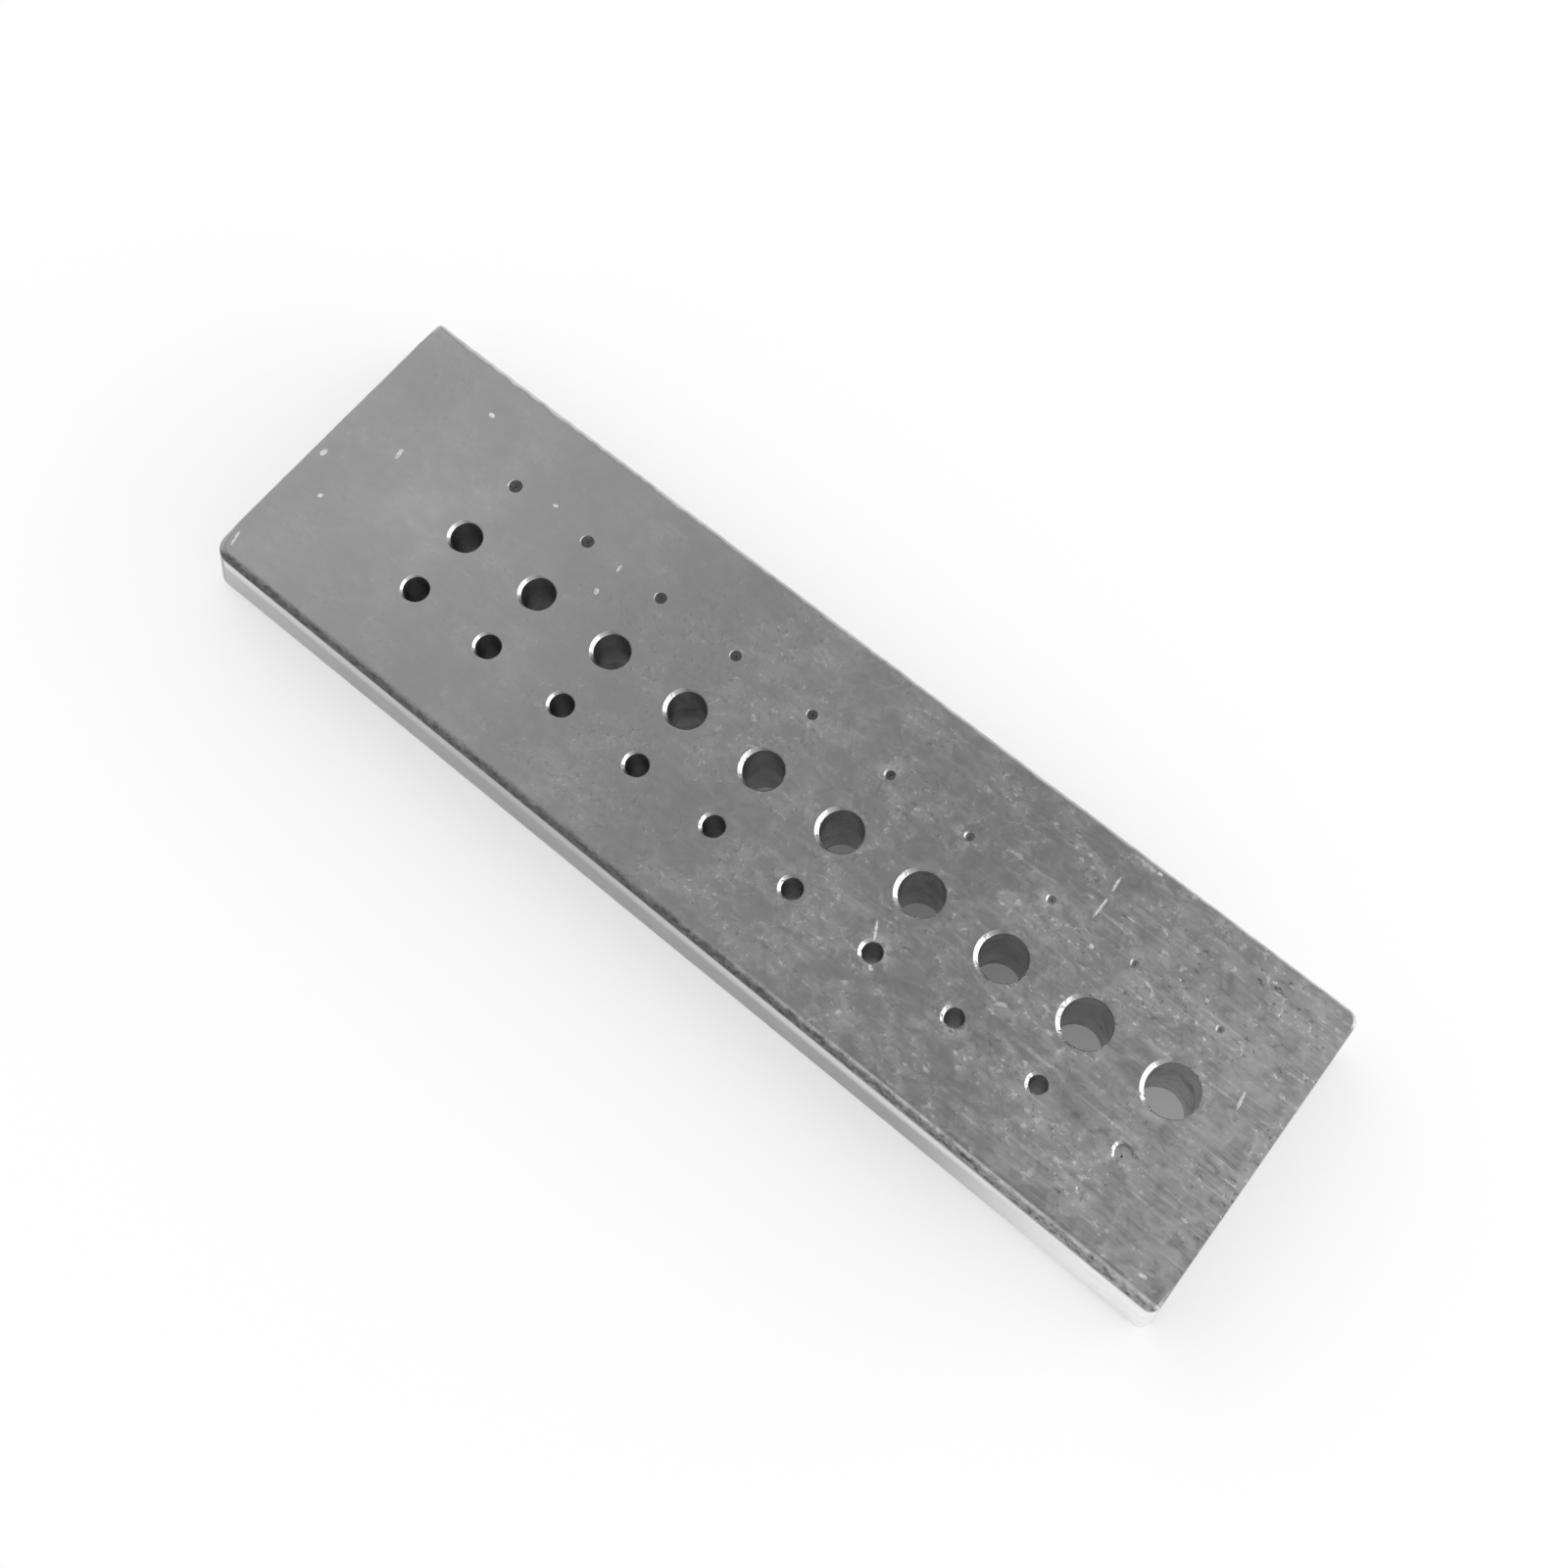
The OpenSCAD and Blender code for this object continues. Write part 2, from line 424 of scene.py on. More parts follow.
def holeFieldTree(steelFinish, boreFinish):
    tree = bpy.data.node_groups.new("holeField", "GeometryNodeTree")
    socketsFor(tree, ["Outer part"], "INPUT", "NodeSocketGeometry")
    socketsFor(tree, ["Pitch", "Row gap", "First hole", "Row offset", "Thickness"] + holeSizes, "INPUT")
    socketsFor(tree, ["Holes per row"], "INPUT", "NodeSocketInt")
    socketsFor(tree, ["Block"], "OUTPUT", "NodeSocketGeometry")
    given = tree.nodes.new("NodeGroupInput").outputs

    # grid of hole middles, with each hole's size worked out from its row and its place in the row
    grid = tree.nodes.new("GeometryNodeMeshGrid")
    plug(tree, given["Holes per row"], grid.inputs["Vertices X"])
    plug(tree, len(rowNames), grid.inputs["Vertices Y"])
    rowLength = product(tree, given["Pitch"], minus(tree, given["Holes per row"], 1))
    plug(tree, rowLength, grid.inputs["Size X"])
    plug(tree, product(tree, given["Row gap"], len(rowNames) - 1), grid.inputs["Size Y"])
    place = partsOf(tree, position(tree))
    along = total(tree, ratio(tree, place["X"], rowLength), 0.5)
    rowPlace = ratio(tree, place["Y"], given["Row gap"])
    inBack = calc(tree, "GREATER_THAN", rowPlace, 0.5)
    inFront = calc(tree, "LESS_THAN", rowPlace, -0.5)

    def perRow(back, middle, front):
        return blendOf(tree, inFront, blendOf(tree, inBack, middle, back), front)

    diameter = perRow(*[blendOf(tree, along, given[row + " left hole"], given[row + " right hole"])
                        for row in rowNames])
    points = keep(tree, grid.outputs["Mesh"], "holeRadius", ratio(tree, diameter, 2))
    points = keep(tree, points, "rimWidth", perRow(*[given[row + " rim"] for row in rowNames]))
    points = keep(tree, points, "holeMiddle", position(tree), "FLOAT_VECTOR")

    # patch: its first side runs round the hole's patch, its second from the patch's border down the hole
    aroundSteps = 2 * (holes["alongSteps"] + holes["acrossSteps"])
    rimAt = holes["topSteps"]
    wallAt = rimAt + holes["rimSteps"]
    lowRimAt = wallAt + holes["wallSteps"]
    underAt = lowRimAt + holes["rimSteps"]
    downSteps = underAt + holes["underSteps"]
    patch = tree.nodes.new("GeometryNodeMeshGrid")
    for axis, steps in (("X", aroundSteps), ("Y", downSteps)):
        plug(tree, 1, patch.inputs["Size " + axis])
        plug(tree, steps + 1, patch.inputs["Vertices " + axis])
    flat = partsOf(tree, position(tree))
    shape = keep(tree, patch.outputs["Mesh"], "around", span(tree, flat["X"], -0.5, 0.5, 0, aroundSteps))
    shape = keep(tree, shape, "down", span(tree, flat["Y"], -0.5, 0.5, 0, downSteps))

    # one patch for each hole
    setOut = tree.nodes.new("GeometryNodeInstanceOnPoints")
    plug(tree, shape, setOut.inputs["Instance"])
    plug(tree, points, setOut.inputs["Points"])
    real = tree.nodes.new("GeometryNodeRealizeInstances")
    plug(tree, setOut.outputs[0], real.inputs[0])

    # border of the patch, as a point of a rectangle from -1 to 1
    around, down = named(tree, "around"), named(tree, "down")
    first, second = holes["alongSteps"], holes["alongSteps"] + holes["acrossSteps"]
    third = second + holes["alongSteps"]
    borderX = minus(tree, span(tree, around, 0, first, -1, 1), span(tree, around, second, third, 0, 2))
    borderY = minus(tree, span(tree, around, first, second, -1, 1),
                    span(tree, around, third, aroundSteps, 0, 2))
    borderX = product(tree, borderX, ratio(tree, given["Pitch"], 2))
    borderY = product(tree, borderY, ratio(tree, given["Row gap"], 2))
    borderReach = calc(tree, "SQRT", squareSum(tree, borderX, borderY))

    # towards the hole the steps get shorter, then over the rim, down the wall and out again underneath
    awayFromHole = squareSum(tree, oneLess(tree, span(tree, down, 0, rimAt)),
                             span(tree, down, underAt, downSteps))
    outOnRim = total(tree, span(tree, down, rimAt, wallAt, 1, 0, soft=True),
                     span(tree, down, lowRimAt, underAt, 0, 1, soft=True))
    upShare = span(tree, down, wallAt, lowRimAt, 1, 0, soft=True)

    # rims are widest on their worn side, round wide holes and towards the right end
    at = spanner(tree, holeRanges, mm)
    radius, fullRim = named(tree, "holeRadius"), named(tree, "rimWidth")
    middle = partsOf(tree, named(tree, "holeMiddle", "FLOAT_VECTOR"))
    columnX = total(tree, middle["X"], ratio(tree, rowLength, 2), given["First hole"])
    rowY = total(tree, middle["Y"], given["Row offset"])
    worn = math.radians(holes["wornTowards"])
    facing = total(tree, product(tree, borderX, math.cos(worn)), product(tree, borderY, math.sin(worn)))
    facing = ratio(tree, facing, borderReach)
    narrow, inBackRow = at(radius, "narrow"), at(radius, "backRow")
    rim = product(tree, fullRim, span(tree, facing, *wornSide, holes["unwornRim"], 1.0, soft=True),
                  oneLess(tree, narrow, holes["narrowRim"]),
                  oneLess(tree, product(tree, at(columnX, "backRims"), inBackRow)),
                  at(columnX, "rimWidth"))

    # grime closes the back row just below its rims, and the front row's last hole deeper down
    lastNarrow = product(tree, at(columnX, "lastColumn"), at(radius, "lastNarrow"))
    clogged = product(tree, most(tree, inBackRow, lastNarrow), holes["clogged"])
    deepAt = wallAt + holes["deepClogSteps"]
    closed = blendOf(tree, inBackRow, span(tree, down, deepAt, deepAt + 1),
                     span(tree, down, wallAt, wallAt + 1))
    inBore = product(tree, closed, span(tree, down, lowRimAt - 1, lowRimAt, 1, 0))
    closedShare = product(tree, clogged, inBore)
    boreHere = product(tree, radius, oneLess(tree, closedShare))
    mouth = timesPlus(tree, rim, outOnRim, boreHere)
    reach = blendOf(tree, awayFromHole, ratio(tree, mouth, borderReach), 1.0)

    # height of each point: rims drop from the face, and the ring inside the grime's border is raised
    shiftUp = product(tree, rim, at(columnX, "rimDepth"), oneLess(tree, outOnRim),
                      oneLess(tree, upShare, 2))
    lastFront = product(tree, lastNarrow, oneLess(tree, inBackRow))
    for step, lift, where in ((wallAt, holes["clogLift"], inBackRow),
                              (deepAt, holes["deepClogLift"], lastFront)):
        raised = product(tree, span(tree, down, step, step + 1),
                         span(tree, down, step + 1, step + 2, lift * mm, 0))
        shiftUp = timesPlus(tree, raised, where, shiftUp)
    spot = joined(tree, timesPlus(tree, borderX, reach, columnX), timesPlus(tree, borderY, reach, rowY),
                  timesPlus(tree, given["Thickness"], upShare, shiftUp))
    moved = tree.nodes.new("GeometryNodeSetPosition")
    plug(tree, real.outputs[0], moved.inputs["Geometry"])
    plug(tree, spot, moved.inputs["Position"])

    # rims get gloss and a painted highlight on their worn side, burrs lie round narrow holes, depth runs
    # from 0 to 1 down the bore
    shine = product(tree, span(tree, down, rimAt - shineBefore, rimAt),
                    span(tree, down, wallAt, wallAt + shineAfter, 1, 0),
                    oneLess(tree, narrow, holes["narrowShine"]), span(tree, facing, *shiningSide))
    fromHole = minus(tree, product(tree, borderReach, reach), mouth)
    burrs = product(tree, at(fromHole, "burrs"), at(radius, "burred"))
    field = moved.outputs[0]
    for name, value in (("rimGlossAndHighlight", shine), ("burrs", burrs), ("clogged", closedShare),
                        ("boreDepth", oneLess(tree, upShare))):
        field = keep(tree, field, name, value)

    # the patches are sewn to each other and to the outer part; bore walls have their own finish
    whole = tree.nodes.new("GeometryNodeJoinGeometry")
    plug(tree, field, whole.inputs[0])
    plug(tree, given["Outer part"], whole.inputs[0])
    sewn = tree.nodes.new("GeometryNodeMergeByDistance")
    sewn.inputs["Distance"].default_value = holes["sewWithin"] * mm
    plug(tree, whole.outputs[0], sewn.inputs["Geometry"])
    final = tree.nodes.new("GeometryNodeRealizeInstances")
    plug(tree, sewn.outputs[0], final.inputs[0])
    onWall = product(tree, calc(tree, "GREATER_THAN", down, wallAt),
                     calc(tree, "LESS_THAN", down, lowRimAt))
    steel = finished(tree, final.outputs[0], steelFinish)
    out = tree.nodes.new("NodeGroupOutput")
    plug(tree, finished(tree, steel, boreFinish, onWall), out.inputs["Block"])
    return tree


def setInput(modifier, name, value):
    for item in modifier.node_group.interface.items_tree:
        if item.item_type == "SOCKET" and item.in_out == "INPUT" and item.name == name:
            modifier[item.identifier] = value


def makeBlock(steelFinish, boreFinish):
    ring = makeRing()
    ring.data.materials.append(steelFinish)
    field = ring.modifiers.new("holeField", "NODES")
    field.node_group = holeFieldTree(steelFinish, boreFinish)
    lengths = {"Pitch": pitch, "Row gap": holes["rowGap"], "First hole": firstX,
               "Row offset": holes["rowOffset"], "Thickness": block["thickness"]}
    for name in holeSizes:
        lengths[name] = holes[name]
    for name, length in lengths.items():
        setInput(field, name, length * mm)
    setInput(field, "Holes per row", holes["perRow"])
    graph = bpy.context.evaluated_depsgraph_get()
    mesh = bpy.data.meshes.new_from_object(ring.evaluated_get(graph), preserve_all_data_layers=True,
                                           depsgraph=graph)
    ring.modifiers.remove(field)
    bpy.data.objects.remove(ring)
    for helper in ("around", "down", "holeRadius", "rimWidth", "holeMiddle"):
        mesh.attributes.remove(mesh.attributes[helper])
    while None in list(mesh.materials):
        mesh.materials.pop(index=list(mesh.materials).index(None))
    mesh.name = "steelBlock"
    print("block:", len(mesh.vertices), "points,", len(mesh.polygons), "faces")
    return placeObject("steelBlock", mesh)


# finishes: effects shared by the ground faces and the bores are node groups

# values of the groups' noises between which each mark appears, and the shares there
markRanges = {
    "scratches": (0.6, 0.72), "flecks": (0.56, 0.74), "pits": (0.57, 0.75),
    "crowd": (0.4, 0.62, 0.15, 1.25), "rubbed": (0.3, 0.55, 0.45, 1.0),
    "strike": (0.5, 1.5, 1, 0),  # share of the mark's size
}


def groupTree(name, numbers, outputs):
    tree = bpy.data.node_groups.new(name, "ShaderNodeTree")
    tree.interface.new_socket(name="Place", in_out="INPUT", socket_type="NodeSocketVector")
    for label, start in numbers.items():
        socket = tree.interface.new_socket(name=label, in_out="INPUT", socket_type="NodeSocketFloat")
        socket.default_value = start
    socketsFor(tree, outputs, "OUTPUT")
    return tree, tree.nodes.new("NodeGroupInput").outputs, tree.nodes.new("NodeGroupOutput").inputs


def stretched(tree, place, along, across):
    # the place times its own scale along X and across it
    return vectorCalc(tree, "MULTIPLY", place, joined(tree, along, across, across))


def grainNoise(tree, place, perMm, detail=3.0, roughness=0.6, twist=0.0):
    noiseNode = tree.nodes.new("ShaderNodeTexNoise")
    for name, value in (("Vector", place), ("Scale", perMm), ("Detail", detail),
                        ("Roughness", roughness), ("Distortion", twist)):
        plug(tree, value, noiseNode.inputs[name])
    return noiseNode.outputs["Fac"]


def grindLines():
    # long fine lines left by the grinding wheel, all running along the block, and a few deeper scratches
    tree, given, out = groupTree("grindLines", {"Lines per mm": 4.0, "Line length": 6.0},
                                 ["Height", "Tone", "Scratches"])
    along = ratio(tree, 1, given["Line length"])
    layers = []
    for shorter, finer in ((1.0, 1.0), (2.5, 2.2), (0.7, 1.4)):
        scaled = stretched(tree, given["Place"], product(tree, along, shorter),
                           product(tree, given["Lines per mm"], finer))
        layers.append(grainNoise(tree, scaled, perMm=1.0, roughness=0.55))
    coarse, fine, scratched = layers
    coarseShare, fineShare = 0.6, 0.4
    height = total(tree, product(tree, coarse, coarseShare), product(tree, fine, fineShare))
    plug(tree, height, out["Height"])
    plug(tree, signed(tree, height, reach=0.15), out["Tone"])
    plug(tree, spanner(tree, markRanges)(scratched, "scratches", soft=True), out["Scratches"])
    return tree


def scuffMarks():
    # pits, flecks, smudges and rubbed patches from work laid and struck on the face
    tree, given, out = groupTree("scuffMarks", {"Fleck size": 0.5, "Patch size": 3.0, "Amount": 1.0},
                                 ["Flecks", "Pits", "Smudges", "Patches", "Height"])
    flat = stretched(tree, given["Place"], along=0.75, across=1.0)
    elsewhere = (31.7, -12.4, 5.3)
    shifted = vectorCalc(tree, "ADD", flat, elsewhere)
    perFleck = ratio(tree, 1, given["Fleck size"])
    finerPits, coarserSmudges = 1.2, 0.42  # than the flecks
    flecks = grainNoise(tree, flat, perFleck, detail=2, roughness=0.55, twist=0.3)
    perPit, perSmudge = product(tree, perFleck, finerPits), product(tree, perFleck, coarserSmudges)
    pits = grainNoise(tree, shifted, perPit, detail=1.5, roughness=0.5, twist=0.2)
    smudges = grainNoise(tree, shifted, perSmudge, detail=2.5, twist=0.8)
    patches = grainNoise(tree, shifted, ratio(tree, 1, given["Patch size"]), twist=0.6)

    # flecks and pits crowd together in the patches
    at = spanner(tree, markRanges)
    crowd = product(tree, given["Amount"], at(patches, "crowd", soft=True))
    fleckMask = product(tree, at(flecks, "flecks", soft=True), crowd)
    pitMask = product(tree, at(pits, "pits", soft=True), crowd)
    plug(tree, fleckMask, out["Flecks"])
    plug(tree, pitMask, out["Pits"])
    plug(tree, signed(tree, smudges), out["Smudges"])
    plug(tree, signed(tree, patches), out["Patches"])
    plug(tree, minus(tree, fleckMask, pitMask), out["Height"])
    return tree


def edgeRubAndHighlight():
    # where an edge is lightened, partly rubbed bright by handling and partly a painted highlight; it
    # comes and goes along the edge
    tree, given, out = groupTree("edgeRubAndHighlight", {"Wear": 0.0, "Patch length": 4.0}, ["Rubbed"])
    perPatch = ratio(tree, 1, given["Patch length"])
    comes = grainNoise(tree, given["Place"], perPatch, detail=4, roughness=0.65)
    plug(tree, product(tree, given["Wear"], spanner(tree, markRanges)(comes, "rubbed")), out["Rubbed"])
    return tree


def struckMark():
    # one nick, scratch or painted highlight streak on the top face, by its middle, half length, half
    # width and direction
    tree, given, out = groupTree("struckMark", {"Middle X": 0.0, "Middle Y": 0.0, "Half length": 0.5,
                                                "Half width": 0.1, "Direction": 0.0}, ["Mark", "Side"])
    wobble, topDepth = 0.22, 0.1  # mm from side to side, and how far below the face a mark may lie
    x, y, z = partsOf(tree, given["Place"])
    ragged = grainNoise(tree, given["Place"], perMm=5.0, detail=2)
    fromX = minus(tree, x, given["Middle X"])
    fromY = minus(tree, y, given["Middle Y"])
    angle = calc(tree, "RADIANS", given["Direction"])
    cosine, sine = calc(tree, "COSINE", angle), calc(tree, "SINE", angle)
    along = total(tree, product(tree, fromX, cosine), product(tree, fromY, sine))
    straight = minus(tree, product(tree, fromY, cosine), product(tree, fromX, sine))
    across = timesPlus(tree, minus(tree, ragged, 0.5), wobble, straight)
    alongShare = ratio(tree, along, given["Half length"])
    acrossShare = ratio(tree, across, given["Half width"])
    off = squareSum(tree, alongShare, acrossShare)
    onTop = calc(tree, "GREATER_THAN", z, block["thickness"] - topDepth)
    mark = product(tree, spanner(tree, markRanges)(off, "strike", soft=True), onTop)
    plug(tree, mark, out["Mark"])
    plug(tree, product(tree, mark, acrossShare), out["Side"])
    return tree


groups = {"grindLines": grindLines(), "scuffMarks": scuffMarks(), "edgeRubAndHighlight": edgeRubAndHighlight(),
          "struckMark": struckMark()}

# nicks and scratches that stand out, the last a painted highlight: middle x and y, half length, half
# width (mm), direction (degrees)
strikes = [
    (-42.7, 2.5, 0.55, 0.18, 100), (-47.9, -1.6, 0.35, 0.25, 80), (-45.2, -4.8, 0.25, 0.18, 60),
    (-39.0, 10.4, 0.3, 0.22, 0), (-28.8, 7.4, 0.25, 0.15, 30), (-20.7, 3.6, 0.3, 0.2, 110),
    (-20.6, 6.4, 0.35, 0.14, 100), (30.4, 5.5, 0.2, 0.18, 0), (29.0, 8.5, 1.0, 0.11, 92),
    (28.8, 10.9, 0.7, 0.11, 97), (46.8, 3.0, 0.8, 0.12, 101), (16.4, -4.5, 0.9, 0.11, 120),
    (49.0, -12.6, 0.35, 0.16, 10), (18.0, -7.1, 0.3, 0.14, 150), (31.0, 13.8, 0.25, 0.12, 10),
    # painted highlight: a bright streak along the front left corner's edge
    (-48.0, -12.4, 0.7, 0.13, 103),
]

groundSteel = {
    "leftReflectionColour": (0.3, 0.3, 0.304), "colour": (0.268, 0.268, 0.272), "rightReflectionColour": (0.38, 0.38, 0.384),
    "wearAndHighlightColour": (0.66, 0.66, 0.67), "pitAndShadeColour": (0.14, 0.14, 0.142), "nickAndHighlightColour": (0.8, 0.8, 0.8),
    "sideReflectionColour": (0.92, 0.92, 0.93), "bevelReflectionColour": (0.14, 0.14, 0.142),
    "rightBevelReflectionColour": (0.36, 0.36, 0.363), "chipColour": (0.04, 0.04, 0.041),
    # the rim tone is how far a rim's painted highlight lightens it
    "roughness": 0.34, "rimRoughness": 0.2, "patchRoughness": 0.03, "rimHighlightTone": 0.95,
    "linesPerMm": 2.4, "lineLength": 6.0, "lineTone": 0.075, "scratchTone": 0.16,
    "fleckSize": 0.5, "fleckTone": 0.31, "pitTone": 0.34, "smudgeTone": 0.125, "burrTone": 0.5,
    "patchSize": 3.2, "patchTone": 0.1, "cloudSize": 14.0, "cloudTone": 0.085,
    "lineUse": 0.75, "patchUse": 0.4,  # share of the lines and patches that grows with use
    "darkGain": 1.6, "calmShare": 0.8,  # how much stronger dark tones are, and what calm places lack
    "rubLength": 5.0, "rimHighlightLength": 1.2,  # mm over which a rubbed edge, and a rim's painted highlight, comes and goes
    "grainBump": 0.25, "grainDepth": 0.02, "scuffBump": 0.5, "scuffDepth": 0.06,  # depths in mm
    "leftToneLean": -0.5,  # slope of the left end's painted reflection
    "bandMiddle": -14, "bevelWave": 0.9, "bevelFade": 0.3,  # mm
    # a painted highlight line and a thin dark line behind the front bevel: mm from the front face, half
    # width and where they are gone
    "highlightLine": (0.57, 0.08, 0.26), "darkLine": (0.94, 0.04, 0.2),
}

# where the ground faces change: from and to, and the shares there (0 and 1 where none are given)
groundRanges = {
    # x in mm; marks of use grow towards the right end
    "use": (-21.0, 50, 0.2, 2.1), "lines": (5, 45, 0.4, 1.1), "burrs": (-6, 14),
    "leftTone": (-46, -6), "rightTone": (26, 52), "cornerRight": (50.2, 50.6), "endEdge": (48, 49.5),
    "leftSideReflection": (-30, -50, 0.04, 0.2), "rightSideReflection": (24, 47, 0.04, 1.0),
    "bevelFoot": (-5, 25, 0.65, 0.38), "bevelReflectionFade": (10, 54), "edgeLines": (0, 28),
    "lightChips": (0, 34, 0.1, 0.36), "darkChips": (0, 34, 0.5, 0.8),
    # mm from the middle of the painted reflection band along the sides
    "bandEnds": (4, 46, 0.3, 0.8),
    # mm from the block's middle line, to both sides, and for the last one to the back
    "sideFace": (halfWidth - 0.05, halfWidth - 0.01), "endEdgeSides": (13.6, 13.0, 0, 0.8),
    "backRubAndHighlight": (halfWidth - 1.4, halfWidth - 1.0, 0.28, 0.9),
    # mm from the front face
    "cornerFront": (1.1, 0.7), "bevelBack": (0.3, 0.72, 1, 0),
    # mm below the working face
    "sideTop": (0.7, 1.1), "calm": (0.7, 1.1, 0, 0.6), "band": (2.0, 4.4, 1, 0),
    "edgeLinesFoot": (0.6, 0.5),
    # values of the noise that breaks up a mark
    "nickNoise": (0.38, 0.52, 0.4, 1.0), "burrNoise": (0.48, 0.6),
    "lightChipsNoise": (0.5, 0.68), "darkChipsNoise": (0.5, 0.34),
    "highlightLineNoise": (0.36, 0.56, 0.5, 1.0), "darkLineNoise": (0.64, 0.44, 0.1, 0.55),
}

boreSteel = {
    "colour": (0.47, 0.47, 0.474), "deepShadeColour": (0.29, 0.29, 0.295), "litWallColour": (0.82, 0.82, 0.83),
    "grimeColour": (0.1, 0.1, 0.1), "paleGrime": (0.3, 0.3, 0.3), "litFrontGrime": (0.8, 0.8, 0.8),
    "roughness": 0.42, "grimeRoughness": 0.62, "patchRoughness": 0.06,
    "smudgeStain": 0.3, "patchStain": 0.4, "grimeSmudge": 0.2, "fleckTone": 0.2,
    "fleckSize": 0.35, "patchSize": 2.0, "bump": 0.3, "bumpDepth": 0.04,
}

boreRanges = {
    "deep": (0.05, 0.5),  # share of the way down the bore
    "grime": (0, 0.12),  # share of the bore that is closed
    "frontRow": (-2, -4),  # y in mm; the rest x in mm
    "frontLight": (-5, 30, 0, 0.7), "rightLight": (30, 43, 0, 0.6), "grimeTone": (8, 38),
}


def startMaterial(material):
    material.use_nodes = True
    tree = material.node_tree
    finish = tree.nodes["Principled BSDF"].inputs
    finish["Metallic"].default_value = 1.0
    return tree, placeInMm(tree), finish


def useGroup(tree, name, place, **numbers):
    used = tree.nodes.new("ShaderNodeGroup")
    used.node_tree = groups[name]
    plug(tree, place, used.inputs["Place"])
    for label, value in numbers.items():
        plug(tree, value, used.inputs[label.replace("_", " ")])
    return used.outputs


def attribute(tree, name):
    read = tree.nodes.new("ShaderNodeAttribute")
    read.attribute_name = name
    return read.outputs["Fac"]


def tint(tree, share, fromColour, toColour):
    mixNode = tree.nodes.new("ShaderNodeMix")
    mixNode.data_type = "RGBA"
    plug(tree, share, mixNode.inputs[0])
    for colour, socket in ((fromColour, mixNode.inputs[6]), (toColour, mixNode.inputs[7])):
        plug(tree, (*colour, 1) if isinstance(colour, tuple) else colour, socket)
    return mixNode.outputs[2]


def dentBump(tree, height, strength, depth, normal=None):
    # depth in mm
    bumpNode = tree.nodes.new("ShaderNodeBump")
    for name, value in (("Strength", strength), ("Distance", depth * mm), ("Height", height)):
        plug(tree, value, bumpNode.inputs[name])
    if normal is not None:
        plug(tree, normal, bumpNode.inputs["Normal"])
    return bumpNode.outputs[0]


def allMarks(tree, place):
    marks, sides = 0.0, 0.0
    for middleX, middleY, halfLength, halfWidth, direction in strikes:
        strike = useGroup(tree, "struckMark", place, Middle_X=middleX, Middle_Y=middleY,
                          Half_length=halfLength, Half_width=halfWidth, Direction=direction)
        marks = most(tree, strike["Mark"], marks)
        sides = total(tree, strike["Side"], sides)
    return marks, sides


def nearTo(tree, value, middle, inside, outside):
    # 1 within inside of the middle, 0 past outside
    off = calc(tree, "ABSOLUTE", minus(tree, value, middle))
    return span(tree, off, inside, outside, 1, 0, soft=True)


